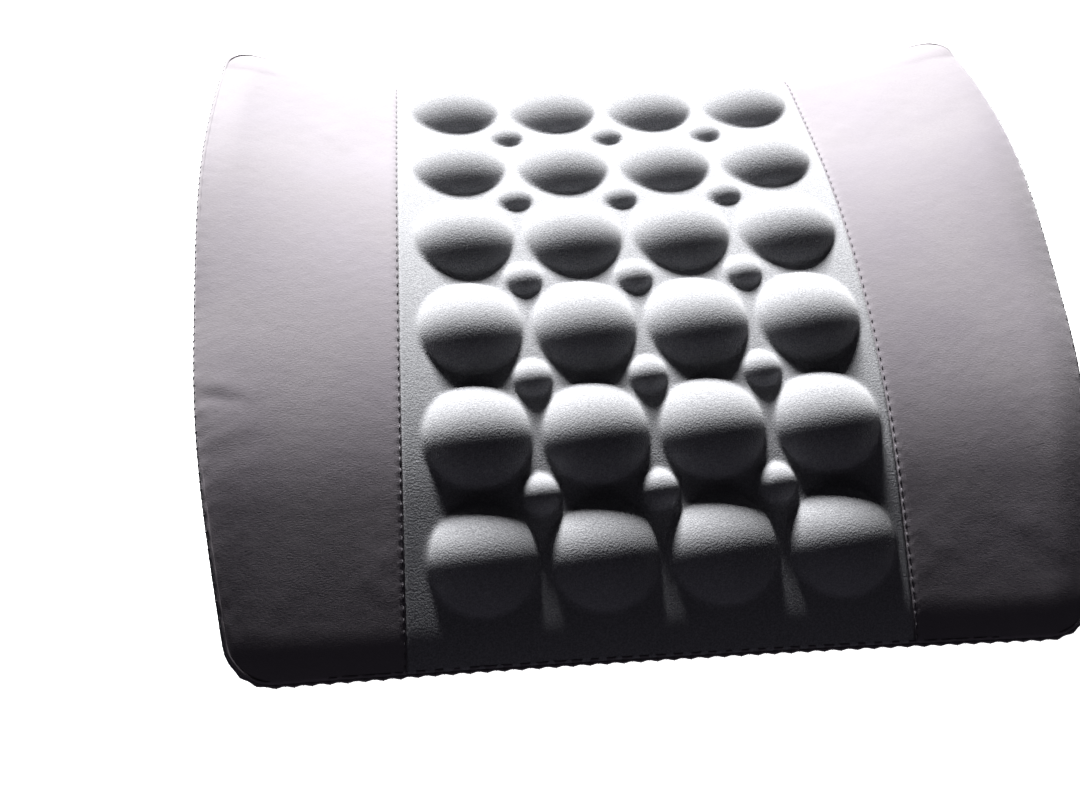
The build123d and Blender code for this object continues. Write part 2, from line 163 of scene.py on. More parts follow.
class Front:
    """A grid over the front: columns at places c, rows at shares t from lower to upper edge."""

    def __init__(self, c, t):
        self.c, self.t = c, t
        low, low_straight = column_end(c, False)
        high, high_straight = column_end(c, True)
        self.y = low[:, None] + (high - low)[:, None] * t[None, :]
        self.x = column_x(c[:, None] + 0 * self.y, self.y)
        edge = side_edge(self.y)
        qx = np.abs(self.x) - (edge - CORNER_RADIUS)
        qy = np.maximum(
            low_straight[:, None] + CORNER_RADIUS - self.y,
            self.y - (high_straight[:, None] - CORNER_RADIUS),
        )
        outside = np.hypot(np.maximum(qx, 0), np.maximum(qy, 0))
        self.inside = CORNER_RADIUS - outside - np.minimum(np.maximum(qx, qy), 0)
        roll = np.clip(1 - self.inside / RIM_REACH, 0, 1) ** 2
        ease = 1 - LOWER_RIM_EASE * smooth((-self.y - 60) / 60)
        self.z = front_height(self.x, self.y) - RIM_DROP * roll * ease

    def points(self):
        return np.stack([self.x, self.y, self.z], -1)


def grid_normals(p):
    """Unit normals of a grid of points."""
    a = np.gradient(p, axis=0)
    b = np.gradient(p, axis=1)
    n = np.cross(a, b)
    return n / np.maximum(np.linalg.norm(n, axis=-1, keepdims=True), 1e-9)


def grid_faces(rows, columns, offset=0):
    """Faces of a grid whose points are numbered row by row."""
    i = np.arange(rows - 1)[:, None] * columns + np.arange(columns - 1)[None, :] + offset
    return np.stack([i, i + columns, i + columns + 1, i + 1], -1).reshape(-1, 4)


def make_piece(name, points, faces, material, body=BODY, replaces=(), slot=None):
    """A mesh piece from points in millimetres, riding on a CAD body."""
    mesh = bpy.data.meshes.new(name)
    mesh.from_pydata((np.asarray(points).reshape(-1, 3) * MM).tolist(), [], [list(f) for f in faces])
    mesh.validate()
    mesh.materials.append(material)
    mesh.shade_smooth()
    piece = bpy.data.objects.new(name, mesh)
    bpy.context.scene.collection.objects.link(piece)
    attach(piece, body)
    if replaces:
        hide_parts(*replaces)
    return piece


CLOTH = 1.4


def cloth_piece(name, points, faces, material, slot, node):
    """A padded cloth piece, with its thickness inwards from the side that its normals point to."""
    piece = make_piece(name, points, faces, material, BODY, [node], slot)
    solid = piece.modifiers.new("thickness", "SOLIDIFY")
    solid.thickness = CLOTH * MM
    solid.offset = -1
    graph = bpy.context.evaluated_depsgraph_get()
    sheet = piece.data
    piece.data = bpy.data.meshes.new_from_object(piece.evaluated_get(graph))
    piece.modifiers.clear()
    bpy.data.meshes.remove(sheet)
    piece.data.shade_smooth()


# ---- materials
class Material:
    """A node material with a few short helpers."""

    def __init__(self, name, roughness, sheen=0.0, sheen_roughness=0.5, metallic=0.0, specular=0.5):
        self.material = bpy.data.materials.new(name)
        self.material.use_nodes = True
        self.nodes = self.material.node_tree.nodes
        self.links = self.material.node_tree.links
        self.shader = self.nodes["Principled BSDF"]
        values = {
            "Roughness": roughness, "Sheen Weight": sheen, "Sheen Roughness": sheen_roughness,
            "Metallic": metallic, "Specular IOR Level": specular,
        }
        for socket, value in values.items():
            self.shader.inputs[socket].default_value = value
        self.place = self.nodes.new("ShaderNodeTexCoord").outputs["Object"]

    def scaled(self, scale):
        """The place in the object with each axis in units of 1 / scale metres."""
        mapping = self.nodes.new("ShaderNodeMapping")
        mapping.inputs["Scale"].default_value = scale if isinstance(scale, tuple) else (scale,) * 3
        self.links.new(self.place, mapping.inputs["Vector"])
        return mapping.outputs["Vector"]

    def texture(self, kind, scale, **values):
        node = self.nodes.new(f"ShaderNodeTex{kind}")
        for name, value in {"Scale": 1.0, **values}.items():
            node.inputs[name].default_value = value
        self.links.new(self.scaled(scale), node.inputs["Vector"])
        return node

    def noise(self, scale, detail=2.0, roughness=0.5):
        return self.texture("Noise", scale, Detail=detail, Roughness=roughness).outputs["Fac"]

    def cells(self, scale):
        return self.texture("Voronoi", scale).outputs["Distance"]

    def wave(self, scale, axis, distortion=0.0):
        node = self.texture("Wave", scale, Distortion=distortion)
        node.bands_direction = axis
        return node.outputs["Fac"]

    def math(self, operation, a, b):
        node = self.nodes.new("ShaderNodeMath")
        node.operation = operation
        for socket, value in zip(node.inputs, (a, b)):
            if isinstance(value, float):
                socket.default_value = value
            else:
                self.links.new(value, socket)
        return node.outputs[0]

    def ramp(self, value, low, high, out_low=0.0, out_high=1.0):
        node = self.nodes.new("ShaderNodeMapRange")
        numbers = {"From Min": low, "From Max": high, "To Min": out_low, "To Max": out_high}
        for name, number in numbers.items():
            node.inputs[name].default_value = number
        self.links.new(value, node.inputs["Value"])
        return node.outputs["Result"]

    def mix(self, factor, a, b):
        node = self.nodes.new("ShaderNodeMix")
        node.data_type = "RGBA"
        for socket, value in ((node.inputs[0], factor), (node.inputs[6], a), (node.inputs[7], b)):
            if isinstance(value, tuple):
                socket.default_value = (*value, 1.0)
            elif isinstance(value, float):
                socket.default_value = value
            else:
                self.links.new(value, socket)
        return node.outputs[2]

    def colour(self, value):
        self.links.new(value, self.shader.inputs["Base Color"])

    def rough(self, value):
        self.links.new(value, self.shader.inputs["Roughness"])

    def bump(self, height, depth_mm, strength=1.0):
        node = self.nodes.new("ShaderNodeBump")
        node.inputs["Strength"].default_value = strength
        node.inputs["Distance"].default_value = depth_mm * MM
        self.links.new(height, node.inputs["Height"])
        self.links.new(node.outputs["Normal"], self.shader.inputs["Normal"])


def knit_material():
    """Fine cool-grey knit over moulded foam, with a salt-and-pepper grain."""
    m = Material("knit_centre", 0.92, sheen=0.25, sheen_roughness=0.6, specular=0.2)
    grain = m.noise(1500, detail=2.0, roughness=0.6)
    loops = m.cells(1150)
    tone = m.mix(m.ramp(grain, 0.36, 0.64), (0.185, 0.187, 0.198), (0.318, 0.321, 0.335))
    tone = m.mix(m.ramp(loops, 0.1, 0.75, 0.0, 0.25), tone, (0.12, 0.12, 0.13))
    tone = m.mix(m.ramp(m.noise(28), 0.3, 0.7, 0.0, 0.12), tone, (0.40, 0.40, 0.42))
    m.colour(tone)
    height = m.math("ADD", m.math("MULTIPLY", loops, -0.6), m.math("MULTIPLY", grain, 0.8))
    m.bump(height, 0.16, 0.8)
    m.rough(m.ramp(grain, 0.3, 0.7, 0.85, 1.0))
    return m.material


def side_material():
    """Smooth brushed cloth in a warm purplish grey."""
    m = Material("cloth_side", 0.8, sheen=0.35, sheen_roughness=0.45, specular=0.25)
    cloud = m.noise(22, detail=4.0)
    fibre = m.noise((900, 2600, 2600), detail=2.0)
    tone = m.mix(m.ramp(cloud, 0.3, 0.7), (0.170, 0.154, 0.173), (0.203, 0.188, 0.200))
    tone = m.mix(m.ramp(fibre, 0.35, 0.65, 0.0, 0.3), tone, (0.14, 0.129, 0.145))
    m.colour(tone)
    height = m.math("ADD", m.math("MULTIPLY", fibre, 0.6), m.math("MULTIPLY", m.noise(160), 0.9))
    m.bump(height, 0.22, 0.6)
    m.rough(m.ramp(cloud, 0.3, 0.7, 0.74, 0.86))
    return m.material


def back_material():
    """Dark woven backing cloth: a plain weave of 1.4 mm ribs."""
    m = Material("cloth_back", 0.88, sheen=0.15, specular=0.25)
    warp = m.wave(220, "X")
    weft = m.wave(220, "Y")
    upright = m.wave(220, "Z")
    weave = m.math("MAXIMUM", m.math("MULTIPLY", warp, weft), m.math("MULTIPLY", upright, 0.5))
    tone = m.mix(m.ramp(weave, 0.0, 0.8), (0.018, 0.017, 0.020), (0.062, 0.058, 0.066))
    tone = m.mix(m.ramp(m.noise(35, 4.0), 0.35, 0.7, 0.0, 0.25), tone, (0.085, 0.080, 0.088))
    m.colour(tone)
    m.bump(weave, 0.3, 0.8)
    return m.material


def thread_material(name, dark, light):
    m = Material(name, 0.6, sheen=0.2, specular=0.3)
    twist = m.wave(1400, "DIAGONAL", 1.0)
    m.colour(m.mix(m.ramp(twist, 0.2, 0.8), dark, light))
    m.bump(twist, 0.08, 0.8)
    return m.material


def webbing_material():
    """Black elastic webbing with fine crosswise ribs."""
    m = Material("webbing", 0.75, sheen=0.2, specular=0.3)
    ribs = m.wave(520, "X")
    cords = m.wave(300, "Y", 0.3)
    weave = m.math("ADD", m.math("MULTIPLY", ribs, 0.6), m.math("MULTIPLY", cords, 0.5))
    tone = m.mix(m.ramp(weave, 0.2, 1.0), (0.020, 0.020, 0.022), (0.085, 0.085, 0.092))
    m.colour(m.mix(m.ramp(m.noise(90, 3.0), 0.4, 0.75, 0.0, 0.3), tone, (0.11, 0.11, 0.115)))
    m.bump(weave, 0.3, 0.7)
    return m.material


def plastic_material(name, colour, roughness):
    """Moulded plastic with a fine spark-eroded texture and slight scuffs."""
    m = Material(name, roughness, specular=0.45)
    grain = m.noise(2600, 2.0)
    scuff = m.noise((60, 300, 60), 5.0)
    paler = tuple(min(1.0, c * 1.8 + 0.012) for c in colour)
    m.colour(m.mix(m.ramp(scuff, 0.52, 0.75, 0.0, 0.5), colour, paler))
    m.rough(m.ramp(scuff, 0.35, 0.7, roughness - 0.06, roughness + 0.12))
    m.bump(grain, 0.05, 0.6)
    return m.material


def metal_material():
    """Dark enamelled zinc, worn paler in small rubbed patches."""
    m = Material("zip_metal", 0.35, metallic=0.7, specular=0.5)
    rub = m.noise(420, 4.0)
    m.colour(m.mix(m.ramp(rub, 0.45, 0.75), (0.15, 0.15, 0.155), (0.24, 0.24, 0.245)))
    m.rough(m.ramp(rub, 0.3, 0.7, 0.28, 0.5))
    m.bump(m.noise(1500), 0.03, 0.5)
    return m.material


def tape_material():
    """Herringbone zip tape."""
    m = Material("zip_tape", 0.85, sheen=0.2, specular=0.2)
    left = m.wave(420, "DIAGONAL")
    right = m.wave((420, -420, -420), "DIAGONAL")
    columns = m.ramp(m.wave(110, "Z"), 0.45, 0.55)
    weave = m.mix(columns, left, right)
    m.colour(m.mix(weave, (0.028, 0.027, 0.030), (0.085, 0.083, 0.092)))
    m.bump(weave, 0.2, 0.7)
    return m.material


def foam_material(name, colour, cell):
    """Open-cell foam, seen only when the cover is off."""
    m = Material(name, 0.95, specular=0.1)
    pores = m.cells(cell)
    darker = tuple(c * 0.55 for c in colour)
    tone = m.mix(m.ramp(pores, 0.05, 0.6), darker, colour)
    m.colour(m.mix(m.ramp(m.noise(30, 3.0), 0.3, 0.7, 0.0, 0.2), tone, darker))
    m.bump(pores, 0.4, 0.8)
    return m.material


def scrim_material():
    m = Material("liner", 0.9, specular=0.15)
    web = m.noise(700, 6.0, 0.8)
    m.colour(m.mix(m.ramp(web, 0.35, 0.65), (0.55, 0.55, 0.55), (0.82, 0.82, 0.81)))
    m.bump(web, 0.1, 0.6)
    return m.material


KNIT = knit_material()
SIDE = side_material()
BACK = back_material()
WEBBING = webbing_material()
PLASTIC = plastic_material("buckle_plastic", (0.045, 0.045, 0.048), 0.42)
COIL = plastic_material("zip_coil", (0.075, 0.075, 0.080), 0.35)
METAL = metal_material()
TAPE = tape_material()
THREAD = thread_material("thread_topstitch", (0.070, 0.063, 0.074), (0.125, 0.115, 0.130))
EDGE_THREAD = thread_material("thread_overlock", (0.12, 0.108, 0.125), (0.19, 0.175, 0.195))
NODE_MATERIALS = {
    "foam": foam_material("foam", (0.75, 0.70, 0.55), 900),
    "foam_dome": foam_material("foam_dome", (0.60, 0.58, 0.54), 1500),
    "liner": scrim_material(),
    "zip_tape": TAPE,
    "zip_metal": METAL,
    "buckle_plastic": PLASTIC,
}
for part in frame["record"]["subparts"]:
    if part["material_slot"] in NODE_MATERIALS:
        mesh = frame["nodes"][part["node"]].data
        mesh.materials.clear()
        mesh.materials.append(NODE_MATERIALS[part["material_slot"]])


# ---- padding, by cloth simulation
STRAIGHT_WIDTH = 58.0  # of a side panel, between its seam and its rounded corners
CORNER_WIDTH = 28.0
FRONT_LENGTH = 316.0
CORNER_LAST = 2.89  # the columns round a corner stop here, short of crowding at its end


def places(step):
    """Column places and row shares for a grid of about this step."""
    centre = np.linspace(-1, 1, 2 * round(SEAM_X / step) + 1)
    straight = np.linspace(1, 2, max(3, round(STRAIGHT_WIDTH / step)) + 1)[1:]
    corner = np.linspace(2, CORNER_LAST, max(3, round(CORNER_WIDTH / step)) + 1)[1:]
    side = np.concatenate([straight, corner, [3]])
    c = np.concatenate([-side[::-1], centre, side])
    t = np.linspace(0, 1, round(FRONT_LENGTH / step) + 1)
    return c, t


SIM_STEP = 7.0
SIM_FRAMES = 20
SIM_PRESSURE = 4.0
SIM_SHRINK = 0.002  # share by which the cloth is cut short of the padding
SIM_STIFFNESS = 40.0
SIM_QUALITY = 6
SIM_BASE = (0.84, 0.82)  # width and length of the base, as shares of the front's
PUFF_LIMIT = 3.0
SAG_LIMIT = -0.15


def simulate_padding():
    """How far the stuffed side panels swell from their plain shape: places and shifts."""
    c, t = places(SIM_STEP)
    front = Front(c, t)
    top = front.points()
    rows, columns = top.shape[:2]
    base = top * (*SIM_BASE, 0)
    points = np.concatenate([top.reshape(-1, 3), base.reshape(-1, 3)])
    count = rows * columns
    faces = grid_faces(rows, columns).tolist()
    faces += [f[::-1] for f in grid_faces(rows, columns, count).tolist()]
    index = np.arange(count).reshape(rows, columns)
    loop = [*index[:, 0], *index[-1, 1:], *index[-2::-1, -1], *index[0, -2:0:-1]]
    loop = [int(i) for i in loop]
    for a, b in zip(loop, loop[1:] + loop[:1]):
        faces.append([a, b, b + count, a + count])
    mesh = bpy.data.meshes.new("padding_sim")
    mesh.from_pydata((points * MM).tolist(), [], faces)
    pad = bpy.data.objects.new("padding_sim", mesh)
    bpy.context.scene.collection.objects.link(pad)
    bm = bmesh.new()
    bm.from_mesh(mesh)
    bmesh.ops.recalc_face_normals(bm, faces=bm.faces)
    bm.to_mesh(mesh)
    bm.free()
    held = pad.vertex_groups.new(name="held")
    free = np.zeros((rows, columns), bool)
    free[np.abs(c) > 1.02] = True  # the side panels, less their seams
    free[:, 0] = free[:, -1] = False
    free[0] = free[-1] = False
    held.add(np.nonzero(~free.reshape(-1))[0].tolist(), 1.0, "REPLACE")
    held.add(list(range(count, 2 * count)), 1.0, "REPLACE")
    cloth = pad.modifiers.new("cloth", "CLOTH")
    cloth.settings.vertex_group_mass = "held"
    cloth.settings.use_pressure = True
    cloth.settings.uniform_pressure_force = SIM_PRESSURE
    cloth.settings.shrink_min = SIM_SHRINK
    cloth.settings.tension_stiffness = SIM_STIFFNESS
    cloth.settings.bending_stiffness = SIM_STIFFNESS
    cloth.settings.quality = SIM_QUALITY
    cloth.settings.effector_weights.gravity = 0
    cloth.collision_settings.use_collision = False
    cloth.point_cache.frame_end = SIM_FRAMES
    scene = bpy.context.scene
    for number in range(1, SIM_FRAMES + 1):
        scene.frame_set(number)
    graph = bpy.context.evaluated_depsgraph_get()
    moved = np.array([v.co for v in pad.evaluated_get(graph).data.vertices]) / MM
    scene.frame_set(1)
    bpy.data.objects.remove(pad)
    shift = (moved - points)[:count].reshape(rows, columns, 3)
    length = np.linalg.norm(shift, axis=-1, keepdims=True)
    shift *= np.minimum(1, PUFF_LIMIT / np.maximum(length, 1e-9))
    shift[..., 2] = np.maximum(shift[..., 2], SAG_LIMIT)
    return c, t, shift


PADDING = simulate_padding()


def sample_grid(c, t):
    """The padding's shift at places c and shares t, smoothly between the simulated points."""
    known_c, known_t, shift = PADDING
    rows = np.stack([[np.interp(t, known_t, line[:, k]) for k in range(3)] for line in shift])
    out = np.empty((len(c), len(t), 3))
    for k in range(3):
        for j in range(len(t)):
            out[:, j, k] = np.interp(c, known_c, rows[:, k, j])
    for _ in range(3):
        out[1:-1] = (out[:-2] + 2 * out[1:-1] + out[2:]) / 4
        out[:, 1:-1] = (out[:, :-2] + 2 * out[:, 1:-1] + out[:, 2:]) / 4
    return out


# ---- front cover
FINE_STEP = 1.25
STITCH_PITCH = 4.7
SCALLOP_PITCH = 7.0

c_all, t_all = places(FINE_STEP)
front = Front(c_all, t_all)
surface = front.points() + sample_grid(c_all, t_all)
normals = grid_normals(surface)
arc = np.cumsum(np.linalg.norm(np.diff(surface, axis=1, prepend=surface[:, :1]), axis=-1), axis=1)


def waves(along, pitch):
    """Rises and falls between 0 and 1 once in each pitch."""
    return 0.5 + 0.5 * np.cos(2 * math.pi * along / pitch)


# The cloth gathers a little where the overlocked rim pulls it in. Distance along the rim is
# near enough the angle round the cushion times its mean radius.
RIM_PUCKER = 0.10
RIM_MEAN_RADIUS = 185.0
along_rim = np.arctan2(front.y, front.x) * RIM_MEAN_RADIUS
rim_shift = -RIM_PUCKER * np.exp(-front.inside / 3.0) * waves(along_rim, SCALLOP_PITCH)

# Small lasting creases on both side panels: place, direction, length, width and depth
CREASES = [
    (-182, -48, -0.25, 12, 5.0, 0.22),
    (-176, -70, 0.35, 14, 7.0, 0.12),
    (158, -128, -0.6, 24, 10.0, 0.12),
    (172, 104, 0.5, 24, 10.0, 0.10),
]
crease_shift = np.zeros_like(front.x)
for x, y, turn, length, width, depth in CREASES:
    dx, dy = front.x - x, front.y - y
    u = dx * math.cos(turn) + dy * math.sin(turn)
    v = -dx * math.sin(turn) + dy * math.cos(turn)
    crease_shift += depth * np.exp(-((u / length) ** 2)) * (
        np.exp(-(((v - 2.5) / width) ** 2)) - 1.3 * np.exp(-(((v + 2.0) / (width * 0.7)) ** 2))
    )

# The side panels' folded edge stands over the centre panel, and dips along its topstitching
STITCH_INSET = 0.9
FOLD_HEIGHT = 0.75
GROOVE_DEPTH = 0.12  # along the stitching
DIMPLE_DEPTH = 0.38  # and this much more at each stitch hole
PUCKER = 0.03
from_seam = np.abs(front.x) - seam_x(front.x, front.y)
past_seam = np.maximum(from_seam, 0)
fold = FOLD_HEIGHT * (1 - np.exp(-past_seam / 0.6)) * np.exp(-past_seam / 40)
dimple = waves(arc, STITCH_PITCH)
groove = -(GROOVE_DEPTH + DIMPLE_DEPTH * dimple**2) * np.exp(-(((from_seam - STITCH_INSET) / 1.1) ** 2))
pucker = PUCKER * (2 * dimple - 1) * np.exp(-np.maximum(from_seam - 2, 0) / 2.5)
side_shift = fold + groove + pucker * (from_seam > 0)

side_points = surface + normals * (rim_shift + crease_shift + side_shift)[..., None]
centre_points = surface + normals * rim_shift[..., None]

# Domes: a round-topped bump that runs into the panel through a small hollow radius
LARGE_COLUMNS = 4
LARGE_ROWS = 6
COLUMN_PITCH = 50.0
ROW_PITCH = 51.2
ROW_SHIFT = 2.0  # the rows sit this far above the middle of the arch
# Radius of a dome where it meets the panel, its slope there, and the hollow's radius
LARGE_DOME = (23.2, math.radians(50.0), 1.6)
SMALL_DOME = (8.9, math.radians(55.0), 1.2)
DOME_VARIATION = 0.006  # each dome differs a hair from the next, as a share of its height


def dome_profile(radius, rise, fillet):
    """Reach of the dome, and functions from the share of that reach to distance and height."""
    reach = math.sqrt((radius + fillet) ** 2 - (fillet - rise) ** 2)
    touch = math.atan2(reach, fillet - rise)  # angle from the top where ball meets hollow
    ball_length = radius * touch
    total = ball_length + fillet * touch

    def profile(share):
        s = share * total
        angle = np.minimum(s / radius, touch)
        left = touch - np.clip((s - ball_length) / fillet, 0, touch)
        on_ball = s <= ball_length
        distance = np.where(on_ball, radius * np.sin(angle), reach - fillet * np.sin(left))
        height = np.where(on_ball, rise + radius * np.cos(angle), fillet - fillet * np.cos(left))
        return distance, height

    return reach, profile


def arch_y(s):
    """Place of a point at arc length s up the front from the crown."""
    tangent = UPPER_TANGENT if s > 0 else LOWER_TANGENT
    turn = min(abs(s) / ARCH_RADIUS, tangent)
    run = abs(s) - turn * ARCH_RADIUS
    return CROWN_Y + math.copysign(ARCH_RADIUS * math.sin(turn) + run * math.cos(turn), s)


def dome_feet(columns, rows):
    """Where the domes stand, from the top row down."""
    feet = []
    for row in range(rows):
        y = arch_y(((rows - 1) / 2 - row) * ROW_PITCH + ROW_SHIFT)
        feet += [((column - (columns - 1) / 2) * COLUMN_PITCH, y) for column in range(columns)]
    return feet


def raise_domes(points, base, base_normals, feet, foot_radius, edge, fillet):
    """Pushes the panel's points out over each dome."""
    radius = foot_radius / math.sin(edge)
    reach, profile = dome_profile(radius, -radius * math.cos(edge), fillet)
    for x, y in feet:
        near = np.argmin((base[..., 0] - x) ** 2 + (base[..., 1] - y) ** 2)
        normal = base_normals.reshape(-1, 3)[near]
        foot = np.array([x, y, float(front_height(np.float64(x), np.float64(y)))])
        q = base - foot
        out = q @ normal
        flat = q - out[..., None] * normal
        r = np.linalg.norm(flat, axis=-1)
        inside = r < reach
        distance, height = profile(r[inside] / reach)
        height = height * (1 + RNG.normal(0, DOME_VARIATION))
        direction = flat[inside] / np.maximum(r[inside], 1e-6)[:, None]
        points[inside] = foot + direction * distance[:, None] + normal * (out[inside] + height)[:, None]


ON_LINE = 1e-4  # how far from a column place still counts as on it
middle = np.abs(c_all) <= 1 + ON_LINE
panel_base = surface[middle]
panel_points = centre_points[middle].copy()
panel_normals = normals[middle]
large_feet = dome_feet(LARGE_COLUMNS, LARGE_ROWS)
small_feet = dome_feet(LARGE_COLUMNS - 1, LARGE_ROWS - 1)
raise_domes(panel_points, panel_base, panel_normals, large_feet, *LARGE_DOME)
raise_domes(panel_points, panel_base, panel_normals, small_feet, *SMALL_DOME)


faces = grid_faces(*panel_points.shape[:2])
cloth_piece("cover_centre", panel_points, faces, KNIT, "knit_centre", "front_centre_panel")
for sign, name in ((-1, "left"), (1, "right")):
    points = side_points[c_all * sign >= 1 - ON_LINE]
    faces = grid_faces(*points.shape[:2])
    cloth_piece(f"cover_side_{name}", points, faces, SIDE, "cloth_side", f"side_panel_{name}")


# ---- side walls
BASE_ROUND = 5.0
WALL_BULGE = 2.2
WALL_HEIGHT = 75.0  # of a side wall where the channel leaves it
WALL_UNEVEN = 0.5
WALL_GATHER = 0.07  # under the scallops of the seam
WINDOW_HALF = box_mm("zip_tape_upper")[1][0] + 0.1
LOWER_ANGLE = math.atan(LOWER_LEAN)
ZIP_HEIGHT = 27.0  # up the wall from the floor edge
WINDOW_TOP = (ZIP_HEIGHT + 11.2) * math.cos(LOWER_ANGLE)
WINDOW_BOTTOM = (ZIP_HEIGHT - 12.0) * math.cos(LOWER_ANGLE)


CUSHION_MIDDLE = np.array([0, 0, 30.0])


def ring_side(points, upper):
    """Rim points along one long edge, with their base points."""
    rim = points[:, -1 if upper else 0]
    _, theta = column_share(c_all)
    sign = 1 if upper else -1
    base_y = BASE_UPPER_Y if upper else BASE_LOWER_Y
    seam = seam_x(rim[:, 0], rim[:, 1])
    arc_start = seam + ARC_START * (side_edge(rim[:, 1]) - seam)
    base_arc = BASE_HALF_WIDTH - CORNER_RADIUS
    x = np.where(
        np.abs(c_all) <= 2, rim[:, 0] * base_arc / arc_start,
        np.sign(c_all) * (base_arc + CORNER_RADIUS * np.sin(theta)),
    )
    y = base_y - sign * CORNER_RADIUS * (1 - np.cos(theta))
    out = np.stack([np.sign(c_all) * np.sin(theta), sign * np.cos(theta)], -1)
    return rim, np.stack([x, y], -1), out


def ring_end(points, right):
    """Rim points along one side edge, with their base points."""
    rim = points[-1 if right else 0]
    sign = 1 if right else -1
    y = np.interp(t_all, [0, 1], [BASE_LOWER_Y + CORNER_RADIUS, BASE_UPPER_Y - CORNER_RADIUS])
    for edge in (-CHANNEL_HALF, CHANNEL_HALF):
        y[np.argmin(np.abs(y - edge))] = edge
    x = np.full_like(y, sign * BASE_HALF_WIDTH)
    out = np.stack([np.full_like(y, sign), np.zeros_like(y)], -1)
    return rim, np.stack([x, y], -1), out


def ripple(a, b, seed, size):
    """Gentle unevenness over two coordinates in millimetres."""
    rng = np.random.default_rng(seed)
    total = np.zeros(np.broadcast(a, b).shape)
    for _ in range(7):
        fa, fb, phase = rng.normal(0, 1 / size), rng.normal(0, 1 / size), rng.uniform(0, 2 * math.pi)
        total += np.sin(2 * math.pi * (fa * a + fb * b) + phase)
    return total / 4


def base_round_off(z):
    """How far the rounded edge at the floor takes a wall in at height z."""
    below = np.maximum(BASE_ROUND - z, 0)
    return BASE_ROUND - np.sqrt(np.maximum(BASE_ROUND**2 - below**2, 0))


def wall_rows(rim, base, out, breaks, counts, keep_flat=None):
    """Points down a wall from the rim to the floor, with rows at the given heights."""
    levels = []
    top = rim[:, 2]
    edges = [top] + [np.full_like(top, z) for z in breaks] + [np.zeros_like(top)]
    for high, low, count in zip(edges, edges[1:], counts):
        for k in range(count):
            levels.append(high + (low - high) * k / count)
    levels.append(edges[-1])
    z = np.stack(levels, 1)
    share = z / top[:, None]
    xy = base[:, None] + (rim[:, None, :2] - base[:, None]) * share[..., None]
    swell = WALL_BULGE * np.sin(math.pi * (1 - share)) ** 0.8
    if keep_flat is not None:
        swell = swell * keep_flat[:, None]
    along = np.cumsum(np.hypot(*np.diff(rim[:, :2], axis=0, prepend=rim[:1, :2]).T))
    swell += WALL_UNEVEN * ripple(along[:, None], z, 3, 60) * np.sin(math.pi * share)
    gather = np.cos(2 * math.pi * along / SCALLOP_PITCH)[:, None] * np.exp(-(top[:, None] - z) / 5)
    swell += WALL_GATHER * gather
    xy += out[:, None] * (swell - base_round_off(z))[..., None]
    return np.concatenate([xy, z[..., None]], -1)


def wall_piece(name, points, node, hole=None):
    """A wall from its grid of points, less the faces whose centre lies in the hole."""
    faces = grid_faces(*points.shape[:2])
    flat = points.reshape(-1, 3)
    if hole is not None:
        faces = faces[~hole(flat[faces].mean(1))]
    used = np.unique(faces)
    renumber = np.full(len(flat), -1)
    renumber[used] = np.arange(len(used))
    faces = renumber[faces]
    span = flat[used]
    a, b, c = (span[faces[len(faces) // 2][k]] for k in range(3))
    if np.dot(np.cross(b - a, c - a), a - CUSHION_MIDDLE) < 0:
        faces = faces[:, ::-1]
    cloth_piece(name, span, faces, SIDE, "cloth_side", node)


rim_points = side_points.copy()
rim_points[middle] = centre_points[middle]
CHANNEL_ROWS = (24, 9)  # rows of faces above the channel's ceiling, and below it
ZIP_ROWS = (10, 14, 9)  # above the zip's window, beside it and below it
ZIP_BULGE = 0.15  # share of the wall's bulge that is left beside the zip

low_ring = ring_side(rim_points, False)
straight = np.abs(c_all) <= 2 + ON_LINE
flat_share = 1 - smooth((WINDOW_HALF + 14 - np.abs(low_ring[1][:, 0])) / 14)
bulge_share = ZIP_BULGE + (1 - ZIP_BULGE) * flat_share
lower_points = wall_rows(*low_ring, [WINDOW_TOP, WINDOW_BOTTOM], ZIP_ROWS, bulge_share)
# Beside the zip the columns run straight up the wall, with one on each end of the window
WINDOW_ROWS = slice(ZIP_ROWS[0], sum(ZIP_ROWS[:2]) + 1)
level_x = lower_points[:, ZIP_ROWS[0] + ZIP_ROWS[1] // 2, 0].copy()
straight_share = smooth((WINDOW_HALF + 18 - np.abs(level_x)) / 14)[:, None]
leaning = lower_points[:, WINDOW_ROWS, 0]
lower_points[:, WINDOW_ROWS, 0] = leaning + (level_x[:, None] - leaning) * straight_share
for edge in (-WINDOW_HALF, WINDOW_HALF):
    lower_points[np.argmin(np.abs(level_x - edge)), WINDOW_ROWS, 0] = edge


def in_window(p):
    return (np.abs(p[:, 0]) < WINDOW_HALF) & (p[:, 2] > WINDOW_BOTTOM) & (p[:, 2] < WINDOW_TOP)


wall_piece("wall_lower", lower_points[straight], "wall_panel_bottom", in_window)

high_ring = ring_side(rim_points, True)
upper_points = wall_rows(*high_ring, [CHANNEL_DEPTH], CHANNEL_ROWS)
wall_piece("wall_upper", upper_points[straight], "wall_panel_top")


def in_channel(p):
    return (np.abs(p[:, 1]) < CHANNEL_HALF) & (p[:, 2] < CHANNEL_DEPTH)


for right, name in ((True, "right"), (False, "left")):
    corner = c_all * (1 if right else -1) >= 2 - ON_LINE
    low = [a[corner] if right else a[corner][::-1] for a in low_ring]
    high = [a[corner][::-1] if right else a[corner] for a in high_ring]
    end = ring_end(rim_points, right)
    chain = [np.concatenate([l, e[1:-1], h]) for l, e, h in zip(low, end, high)]
    points = wall_rows(*chain, [CHANNEL_DEPTH], CHANNEL_ROWS)
    # The columns run straight up beside the channel
    along_end = slice(len(low[0]), len(low[0]) + len(end[0]) - 2)
    points[along_end, CHANNEL_ROWS[0]:, 1] = chain[1][along_end, 1][:, None]
    wall_piece(f"wall_{name}", points, f"wall_panel_{name}", in_channel)


